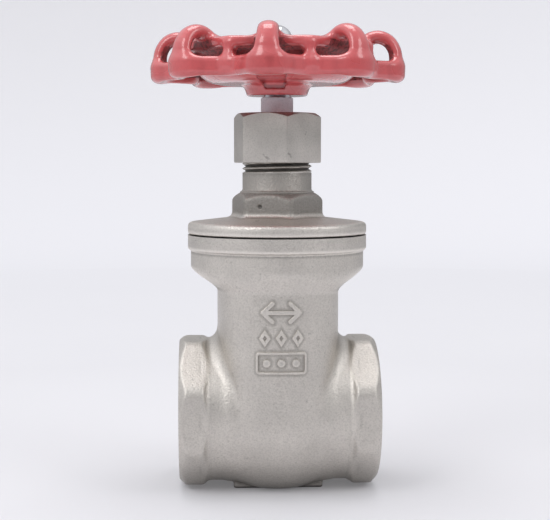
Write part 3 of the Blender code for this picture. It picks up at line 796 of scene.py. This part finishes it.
def build_body():
    margin = 2.5
    g = Field((*(body_low[:2] - margin), -margin), body_high + margin, FINE)
    radial = np.sqrt(g.y ** 2 + (g.z - FLOW_Z) ** 2)
    shape = body_outside(g, radial)
    body = g.skin("body_casting", smooth_max(shape, -body_cavity(g, radial), 0.6))

    # The marks are finer than the casting, so they have their own grid.
    patch = Field((-11, -33, 45), (11, -27, 75), FINE / 2)
    shape = body_outside(patch, np.sqrt(patch.y ** 2 + (patch.z - FLOW_Z) ** 2))
    marks = smooth_max(marks_field(patch.x, patch.z), shape - MARK_HEIGHT, 0.3)
    carve(body, patch.skin("marks", np.maximum(marks, -shape - 0.9)), "UNION")
    patch.distance = np.minimum(shape, marks)

    for side in (-1, 1):
        facing = turned("facing", [(0, HALF_LENGTH + 4), (34, HALF_LENGTH + 4),
                                   (34, HALF_LENGTH), (0, HALF_LENGTH)])
        carve(body, lay_along_flow(facing, side))
        thread = socket_rows(SOCKET_R, PIPE_DEPTH, PIPE_PITCH, SOCKET_END + 1.5, HALF_LENGTH - 0.8,
                             (2.5, 0.8))
        waterway = turned("waterway", [
            (0, HALF_LENGTH + 1), (SOCKET_R + 3.0, HALF_LENGTH + 1), (SOCKET_R + 2.0, HALF_LENGTH),
            (SOCKET_R + 0.1, HALF_LENGTH - 0.75)] + thread + [
            (SOCKET_R, SOCKET_END), (BORE_R + 0.6, SOCKET_END), (BORE_R, SOCKET_END - 0.6),
            (BORE_R, SEAT_HALF - 4), (0, SEAT_HALF - 4)], 144)
        carve(body, lay_along_flow(waterway, side))
    top = turned("top_machining", [
        (0, BODY_TOP + 4), (RIM_R + 2, BODY_TOP + 4), (RIM_R + 2, BODY_TOP + 1.0),
        (RIM_R + 0.4, BODY_TOP + 0.1), (RIM_R - 0.5, BODY_TOP), (GASKET_SEAT_R + 0.2, BODY_TOP),
        (GASKET_SEAT_R, BODY_TOP - 0.2), (GASKET_SEAT_R, GASKET_SEAT_Z),
        (SPIGOT_BORE_R + 0.4, GASKET_SEAT_Z),
        (SPIGOT_BORE_R, GASKET_SEAT_Z - 0.4)] + socket_rows(
        SPIGOT_BORE_R, 0.9, 2.0, SPIGOT_BORE_BOTTOM + 1, GASKET_SEAT_Z - 0.8, (1.0, 1.0)) + [
        (SPIGOT_BORE_R, SPIGOT_BORE_BOTTOM), (0, SPIGOT_BORE_BOTTOM)], 144)
    carve(body, top)

    centres, around, _ = measure_faces(body)
    radial = np.hypot(centres[:, 1], centres[:, 2] - FLOW_Z)
    reach = np.abs(centres[:, 0])
    ends = (reach > HALF_LENGTH - 0.02) | ((radial < SOCKET_R + 2.1) & (reach > SOCKET_END - 0.5))
    bores = (radial < BORE_R + 0.7) & (reach > SEAT_HALF - 3)
    seats = (radial < SEAT_R - 0.3) & (reach < POCKET_HALF - 0.6) & (reach > 7)
    mouth = (centres[:, 2] > SPIGOT_BORE_BOTTOM - 0.1) & (around < GASKET_SEAT_R + 0.3)
    machined = ends | bores | seats | mouth | (centres[:, 2] > BODY_TOP - 0.05)
    note_form(body, [g, patch])
    finish_piece(body, "valve", ["valve_body"], [CAST, MACHINED], machined)


# ---------- bonnet

def build_bonnet():
    margin = 2.0
    g = Field(bonnet_low - margin, (*(bonnet_high[:2] + margin), HEX_TOP + 4), FINER)
    base, peak = bonnet_low[2], bonnet_high[2]
    r = g.around_z
    dome = (g.z - HEX_BASE - 0.3 + (r - 18) * 0.12) / 1.007
    flange = smooth_max(r - bonnet_high[0], dome, 1.6)
    flange = smooth_max(flange, FLANGE_BOTTOM - g.z, 0.8)
    spigot = rounded_box(r - SPIGOT_R, base - g.z, g.z - HEX_BASE + 1, radius=0.6)
    angle = np.arctan2(g.y, g.x)
    flats = None
    for k in range(3):
        side = np.abs(r * np.cos(angle - HEX_TURN - math.pi / 6 - k * math.pi / 3)) - HEX_FLAT
        flats = side if flats is None else smooth_max(flats, side, 1.1)
    cone = (g.z - HEX_TOP) * 0.84 + (r - NECK_R - 0.3) * 0.54
    hexagon = smooth_max(smooth_max(flats, cone, 1.0), g.z - HEX_TOP, 0.9)
    hexagon = np.maximum(hexagon, HEX_BASE - 2 - g.z)
    shape = smooth_min(flange, hexagon, 2.2)
    # Two small casting pits, one in a face of the hexagon and one in the flange.
    for centre, size in PITS:
        pit = np.sqrt(sum((axis - c) ** 2 for axis, c in zip((g.x, g.y, g.z), centre))) - size
        shape = smooth_max(shape, -pit, 0.3)
    shape = np.minimum(shape, spigot)
    bonnet = g.skin("bonnet_casting", shape)

    neck = turned("neck", [
        (0, peak), (NECK_R - NECK_DEPTH - 0.4, peak), (NECK_R - NECK_DEPTH, peak - 0.4)]
        + thread_rows(NECK_R, NECK_DEPTH, NECK_PITCH, NECK_THREAD_BOTTOM, peak - 0.5,
                      1, (0.5, 0.3), 14)
        + [(NECK_R, HEX_TOP + 0.8), (NECK_R + 0.3, HEX_TOP + 0.3), (NECK_R + 0.9, HEX_TOP - 0.1),
           (NECK_R + 0.9, HEX_TOP - 2), (0, HEX_TOP - 2)], 144)
    carve(bonnet, neck, "UNION")
    (room_r, bottom, top), (wide_r, chamfer) = BOSS_ROOM, LIFT_ROOM
    inside = turned("inside", [
        (0, peak + 1), (STUFFING_R + 0.5, peak + 1), (STUFFING_R + 0.5, peak - 0.1),
        (STUFFING_R, peak - 0.6), (STUFFING_R, SHOULDER_Z), (STEM_HOLE_R, SHOULDER_Z),
        (STEM_HOLE_R, top), (room_r, top), (room_r, bottom), (wide_r - 1.5, chamfer + 1.5),
        (wide_r, chamfer), (wide_r, base - 1), (0, base - 1)], 96)
    carve(bonnet, inside)
    centres, around, _ = measure_faces(bonnet)
    machined = (centres[:, 2] > NECK_THREAD_BOTTOM - 0.3) & (around < NECK_R + 0.95)
    machined |= (around < room_r + 0.1) | (centres[:, 2] < FLANGE_BOTTOM + 0.05)
    note_form(bonnet, [g])
    note_groove(bonnet, NECK_R, NECK_DEPTH, NECK_THREAD_BOTTOM - 0.2, peak + 0.1)
    finish_piece(bonnet, "valve", ["bonnet"], [CAST_DULL_AND_SHADED, MACHINED], machined)


def finish_wedge():
    """The wedge keeps its CAD shape and takes the machined finish."""
    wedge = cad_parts["wedge"]
    for slot in wedge.material_slots:
        slot.material = MACHINED


# ---------- small parts

def build_gasket():
    low, high, outer = round_box("bonnet_gasket")
    inner = SPIGOT_R + 0.6
    ring = turned("gasket", [(outer, high - 0.2), (outer, low + 0.2), (outer - 0.2, low),
                             (inner, low), (inner, high), (outer - 0.2, high)], 160)
    finish_piece(ring, "valve", ["bonnet_gasket"], [GASKET])


def build_packing_nut():
    """Machined hexagon nut: hexagon by angle, coned top, bored and threaded inside."""
    low, high, _ = round_box("packing_nut")
    side = hexagon_radius(NUT_FLAT, NUT_TURN, 90)
    edge = crowned(side, high, NUT_CROWN_R, NUT_CHAMFER_SLOPE)
    thread = socket_rows(NECK_R + 0.25, 0.8, NECK_PITCH, low + 0.9, NUT_THREAD_TOP, (0.8, 1.0))
    profile = [
        (STEM_R + 0.3, high - 0.4), (STEM_R + 0.7, high), (14.3, high), (14.7, high - 0.04),
        (offset(side, -0.25), offset(edge, 0.12)), (offset(side, -0.06), offset(edge, -0.02)),
        (side, offset(edge, -0.3)), (side, low + 0.55), (offset(side, -0.12), low + 0.16),
        (offset(side, -0.45), low + 0.02), (NECK_R + 1.5, low), (NECK_R + 0.3, low + 0.8)]
    profile += thread[::-1]
    profile += [(NECK_R + 0.3, NUT_CEILING - 0.5), (NECK_R, NUT_CEILING), (STEM_R + 0.3, NUT_CEILING)]
    nut = turned("packing_nut_turned", profile, 240)
    # The chamfer takes the dull steel: rougher, and darkened as painted shade under the handwheel.
    centres, around, normals = measure_faces(nut)
    chamfer = (centres[:, 2] > high - 2.4) & (around > NUT_CROWN_R - 0.1) & (normals[:, 2] > 0.35)
    finish_piece(nut, "gland_nut", ["packing_nut"], [MACHINED, CAST_DULL_AND_SHADED],
                 chamfer, 24)


def square_radius(half, sharpness=14):
    return lambda angles: half / (np.abs(np.cos(angles)) ** sharpness
                                  + np.abs(np.sin(angles)) ** sharpness) ** (1 / sharpness)


def build_stem():
    low, high, _ = round_box("stem")
    square = square_radius(SQUARE)
    collar_r, collar_low, collar_high = COLLAR
    profile = [(0, high), (STUD_R - 1.1, high), (STUD_R - 0.9, high - 0.3)]
    profile += thread_rows(STUD_R, 0.6, 1.25, HUB_TOP + 0.3, high - 0.4, 1, (0.6, 0.4))
    profile += [
        (STUD_R, HUB_TOP), (offset(square, -0.3), HUB_TOP - 0.1), (square, HUB_TOP - 0.4),
        (square, STEM_SHOULDER + 0.6), (STEM_R - 0.5, STEM_SHOULDER),
        (STEM_R - 0.12, STEM_SHOULDER - 0.12),
        (STEM_R, STEM_SHOULDER - 0.5), (STEM_R, collar_high + 0.3), (STEM_R + 0.3, collar_high),
        (collar_r - 0.3, collar_high), (collar_r, collar_high - 0.3), (collar_r, collar_low + 0.3),
        (collar_r - 0.3, collar_low), (STEM_R, collar_low), (STEM_R, 102.9), (STEM_R - 0.2, 102.7),
        (STEM_THREAD_R - 1.3, 101.6), (STEM_THREAD_R - 1.3, 99.8)]
    profile += thread_rows(STEM_THREAD_R, 1.3, STEM_PITCH, low + 0.8, 99.6, -1, (0.6, 0.6))
    profile += [(STEM_THREAD_R - 1.3, low + 0.5), (STEM_THREAD_R - 1.7, low), (0, low)]
    stem = turned("stem_turned", profile, 96)
    finish_piece(stem, "spindle", ["stem"], [STEM_STEEL])


def build_washers():
    def ring(name, low, high, outer, soften):
        inner, little = STUD_R + 0.3, soften * 0.3
        return turned(name, [
            (outer - soften, high), (outer - little, high - little), (outer, high - soften),
            (outer, low + soften), (outer - little, low + little), (outer - soften, low),
            (inner + soften, low), (inner, low + soften), (inner, high - soften),
            (inner + soften, high)], 96)

    plain = ring("plain_washer", *round_box("wheel_washer"), 0.25)
    finish_piece(plain, "spindle", ["wheel_washer"], [MACHINED])
    low, high, outer = round_box("spring_washer")
    lift = (high - low) / 2
    coil = ring("split_washer", low, high, outer, 0.2)
    slot = turned("slot", [(0, lift * 4), (8, lift * 4), (8, -lift * 4), (0, -lift * 4)], 4)
    slot.data.transform(Matrix.Diagonal((0.07, 0.6, 1, 1)))
    slot.data.transform(Matrix.Translation((0.0002, 0.0058, low * MM)))
    carve(coil, slot)
    finish_piece(coil, "spindle", ["spring_washer"], [MACHINED])


def build_dome_nut():
    """Polished cap nut: chamfered hexagon, short shoulder, and a domed cap."""
    low, high, _ = round_box("dome_nut")
    side = hexagon_radius(DOME_FLAT, DOME_TURN, 70)
    shoulder = low + DOME_SHOULDER
    edge = crowned(side, shoulder, DOME_CROWN_R, DOME_SLOPE)

    def under(angles):
        return low + np.maximum(0, side(angles) - DOME_CROWN_R) * DOME_SLOPE

    profile = [(0, high)]
    for i in range(1, 15):
        a = math.pi / 2 * i / 14
        profile.append((DOME_R * math.sin(a), high - DOME_R + DOME_R * math.cos(a)))
    profile += [
        (DOME_R, shoulder + 0.6), (DOME_R + 0.08, shoulder + 0.2), (6.2, shoulder),
        (offset(side, -0.08), offset(edge, -0.03)), (side, offset(edge, -0.2)),
        (side, offset(under, 0.2)), (offset(side, -0.08), offset(under, 0.03)), (6.2, low),
        (STUD_R + 0.7, low), (STUD_R + 0.3, low + 0.4), (STUD_R + 0.3, 171.6), (0, 172.4)]
    nut = turned("dome_nut_turned", profile, 144)
    finish_piece(nut, "spindle", ["dome_nut"], [POLISHED], sharp=24)


def build_packing():
    """Thrust washers, base ring, packing and follower inside the stuffing box."""
    inner = STEM_R + 0.3
    for node, material, slot in (("lower_thrust_washer", PACKING, "packing"),
                                 ("upper_thrust_washer", PACKING, "packing"),
                                 ("packing_base_ring", MACHINED, "machined_steel")):
        low, high, outer = round_box(node)
        ring = turned(node + "_turned", [
            (outer - 0.2, high), (outer, high - 0.2), (outer, low + 0.2), (outer - 0.2, low),
            (inner + 0.2, low), (inner, low + 0.2), (inner, high - 0.2), (inner + 0.2, high)], 72)
        finish_piece(ring, "valve", [node], [material])
    for number in range(1, 6):
        node = "packing_ring_%d" % number
        low, high, outer = round_box(node)
        middle, half = (inner + outer) / 2, (outer - inner) / 2
        centre, tall = (low + high) / 2, (high - low) / 2
        section = []
        for i in range(24):
            a = -TAU * i / 24
            bulge = (abs(math.cos(a)) ** 6 + abs(math.sin(a)) ** 6) ** (-1 / 6)
            section.append((middle + half * bulge * math.cos(a), centre + tall * bulge * math.sin(a)))
        ring = turned("packing_%d_braided" % number, section, 72)
        finish_piece(ring, "valve", [], [PACKING])
        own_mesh(ring)
        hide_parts(node)
    low, high, flange = round_box("gland_follower")
    nose, shelf = STUFFING_R - 0.3, high - 2.3
    follower = turned("follower_turned", [
        (flange - 0.3, high), (flange, high - 0.3), (flange, shelf + 0.3), (flange - 0.3, shelf),
        (nose, shelf), (nose, low + 0.3), (nose - 0.3, low), (inner + 0.3, low),
        (inner, low + 0.3), (inner, high - 0.3), (inner + 0.3, high)], 96)
    finish_piece(follower, "gland", ["gland_follower"], [MACHINED])


# ---------- handwheel

def handwheel_field(g):
    """Scalloped band, eight arched grips, dished web and hub, all melted together."""
    r = g.around_z
    angle = np.arctan2(g.y, g.x) - LOBE_TURN
    sector = TAU / LOBES
    lobe = (angle + sector / 2) % sector - sector / 2      # angle from the nearest lobe
    valley = angle % sector - sector / 2                   # angle from the nearest valley
    wave = np.cos(LOBES * angle)

    def outline(at_lobe, at_valley):
        return (at_lobe + at_valley) / 2 + (at_lobe - at_valley) / 2 * wave

    edge = outline(BAND_LOBE_R, BAND_VALLEY_R)
    swing = (BAND_LOBE_R - BAND_VALLEY_R) / 2 * LOBES * np.abs(np.sin(LOBES * angle))
    tilt = 1 / np.sqrt(1 + (swing / 44) ** 2)
    band = rounded_box((np.abs(r - edge + BAND_WALL / 2) - BAND_WALL / 2) * tilt,
                       BAND[0] - g.z, g.z - BAND[1], radius=2.0)
    ring = rounded_box(r - outline(RING_LOBE_R, RING_VALLEY_R), RING_INNER_R - r,
                       RING[0] - g.z, g.z - RING[1], radius=1.6)
    u, w = r * np.cos(valley), r * np.sin(valley)
    lean = (g.z - BAND[1]).clip(-2, 4) * 0.25
    middle, thick, wide, low, high = PILLAR
    pillar = rounded_box(np.abs(u - middle + lean) - thick, np.abs(w) - wide, low - g.z, g.z - high,
                         radius=1.2)

    u, w = r * np.cos(lobe), r * np.sin(lobe)
    bar = path_distance(u, g.z, [(*point, 0.0) for point in smooth_path(ARCH)])
    # The grip's section is a soft rectangle that narrows a little towards the top.
    half = ARCH_WIDE[0] - ARCH_WIDE[1] * smooth_step(ARCH[0][1] - 0.2, ARCH[4][1] + 0.1, g.z)
    power = ARCH_POWER
    section = ((bar / ARCH_THICK) ** power + (np.abs(w) / half) ** power) ** (1 / power)
    scale = np.minimum(ARCH_THICK, np.sqrt(bar ** 2 + w ** 2) / np.maximum(section, 0.2))
    arch = (section - 1) * scale

    dish = path_distance(r, g.z, smooth_path(DISH))
    hub = rounded_box((r - HUB_R + (152.6 - g.z).clip(0, 3) * 0.34) * 0.95,
                      HUB_BOTTOM - g.z, g.z - HUB_TOP, radius=0.7)

    shape = smooth_min(dish, hub, 1.8)
    shape = smooth_min(shape, smooth_min(ring, pillar, 2.2), 1.6)
    shape = smooth_min(shape, band, 2.4)
    shape = smooth_min(shape, arch, 3.2)
    # A shallow recess cast into the front of the hub and the web's underside, wider at the top.
    ahead = g.x * math.cos(LOBE_TURN) + g.y * math.sin(LOBE_TURN)
    across = np.abs(g.y * math.cos(LOBE_TURN) - g.x * math.sin(LOBE_TURN))
    low, high, wide, middle, long = RECESS
    prism = rounded_box(across - wide - (g.z - low).clip(0, 5) * 0.5, np.abs(ahead - middle) - long,
                        low - g.z, g.z - high, radius=0.3)
    return smooth_max(shape, -np.maximum(prism, -(shape + 1.0)), 0.4)


def build_handwheel():
    margin = 1.5
    g = Field(wheel_low - margin, wheel_high + margin, FINER)
    wheel = g.skin("handwheel_casting", handwheel_field(g))
    side = square_radius(SQUARE + 0.3, 30)
    broach = turned("broach", [(0, HUB_TOP + 2), (side, HUB_TOP + 2), (side, HUB_BOTTOM - 2),
                               (0, HUB_BOTTOM - 2)], 96)
    carve(wheel, broach)
    note_form(wheel, [g])
    # The coating is thin and rough on the walls of the hollow between the dish and the band,
    # and its colour is darkened there as painted shade.
    centres, around, normals = measure_faces(wheel)
    outward = (centres[:, 0] * normals[:, 0] + centres[:, 1] * normals[:, 1]) / np.maximum(around, 1)
    level = (centres[:, 2] > BAND[0] + 2.5) & (centres[:, 2] < RING[0] + 3)
    hollow = level & (((outward > 0.25) & (around > 28.5) & (around < 35.8)) |
                      ((outward < -0.35) & (around > 33.5) & (around < 45)))
    finish_piece(wheel, "spindle", ["handwheel"], [RED, RED_ROUGH_SHADED], hollow, sharp=60)


build_body()
build_bonnet()
build_gasket()
build_packing_nut()
build_stem()
build_washers()
build_dome_nut()
build_packing()
build_handwheel()
finish_wedge()


# ---------- stage

SKY = ((0.0, 0.34), (0.10, 0.36), (0.35, 0.52), (0.75, 0.95), (1.0, 1.0))    # height, brightness
SKY_STRENGTH = 0.84
SKY_SIDES = 0.8
SKY_LEAN = -0.36       # the left is brighter than the right
LENS = 82.0
CAMERA_DISTANCE = 0.480        # these are in metres
CAMERA_HEIGHT = 0.124
AIM_HEIGHT = 0.0865
AIM_SHIFT = -0.00077           # how far to the side of the axis the camera aims
CAMERA_TURN = math.radians(-3.0)


def area_light(name, spot, size, power):
    light = bpy.data.lights.new(name, "AREA")
    light.shape = "RECTANGLE"
    light.size, light.size_y = size
    light.energy = power
    lamp = new_object(name, light)
    lamp.location = spot
    aim = Vector((0, 0, 0.09)) - lamp.location
    lamp.rotation_euler = aim.to_track_quat("-Z", "Y").to_euler()


def round_sheet(name, profile, paper, count=96):
    """Turns a profile of (radius, z) in mm into a smooth round sheet, for the stage."""
    angles = np.arange(count) * TAU / count
    points = [(r * math.cos(a), r * math.sin(a), z) for r, z in profile for a in angles]
    faces = []
    for row in range(len(profile) - 1):
        for i in range(count):
            j = (i + 1) % count
            faces.append(tuple(row * count + k for k in (i, count + i, count + j, j)))
    sheet = mesh_object(name, np.array(points), faces)
    sheet.data.shade_smooth()
    sheet.data.materials.append(paper)
    return sheet


def build_stage():
    """A round pale floor that curves up into a wall, in soft light that is strongest overhead."""
    n = material("sweep")
    far = n.remap(n.reach(), 0.30, 1.10, 0, 1)
    glow = n.maths("ADD", n.remap(far, 0, 1, 0.125, 0.11), n.remap(n.reach(), 1.10, 1.55, 0, 0.11))
    tone = n.blend(n.noise(6, 2.0), (0.585, 0.58, 0.60, 1), (0.605, 0.60, 0.62, 1))
    paper = n.set(Base_Color=n.blend(far, tone, (0.805, 0.80, 0.825, 1)), Roughness=0.9,
                  Specular_IOR_Level=0.1, Emission_Color=(0.985, 0.975, 1.0, 1),
                  Emission_Strength=glow)
    radius, cove, wall = 1500, 500, 750
    round_sheet("floor", [(0.01, 0), (200, 0), (600, 0), (radius - cove, 0)], paper)
    turns = [math.pi / 2 * i / 12 for i in range(13)]
    curve = [(radius - cove + cove * math.sin(a), cove - cove * math.cos(a)) for a in turns]
    backdrop = round_sheet("backdrop", curve + [(radius, wall)], paper)
    backdrop.visible_diffuse = False
    backdrop.visible_glossy = False
    backdrop.visible_shadow = False

    # Brightness changes with x: 1 + SKY_LEAN x + SKY_SIDES x^2.
    n = Nodes(bpy.data.worlds.new("studio"), "Background", "Generated")
    across, _, height = n.axes()
    ramp = n.add("ShaderNodeValToRGB", Fac=height)
    stops = ramp.color_ramp.elements
    while len(stops) < len(SKY):
        stops.new(0.5)
    for stop, (position, level) in zip(stops, SKY):
        stop.position = position
        stop.color = (level, level * 1.01, level * 1.05, 1)
    slope = n.maths("MULTIPLY_ADD", across, SKY_SIDES, SKY_LEAN)
    total = n.maths("MULTIPLY_ADD", across, slope, 1.0)
    bpy.context.scene.world = n.set(Color=ramp.outputs["Color"],
                                    Strength=n.maths("MULTIPLY", total, SKY_STRENGTH))
    area_light("key", (-0.55, -0.55, 0.75), (0.40, 0.40), 1.9)
    area_light("fill", (0.65, -0.45, 0.65), (0.35, 0.40), 1.3)
    area_light("top", (0.0, 0.1, 0.95), (0.55, 0.45), 3.0)


def build_camera():
    """The camera stands in front, a little to the left, and looks slightly down."""
    camera = bpy.data.cameras.new("camera")
    camera.lens = LENS
    camera.sensor_width = 36.0
    holder = new_object("camera", camera)
    side, front = math.sin(CAMERA_TURN), -math.cos(CAMERA_TURN)
    holder.location = (side * CAMERA_DISTANCE, front * CAMERA_DISTANCE, CAMERA_HEIGHT)
    target = Vector((-front * AIM_SHIFT, side * AIM_SHIFT, AIM_HEIGHT))
    holder.rotation_euler = (target - holder.location).to_track_quat("-Z", "Y").to_euler()
    bpy.context.scene.camera = holder
    bpy.context.scene.view_settings.view_transform = "Standard"


build_stage()
build_camera()
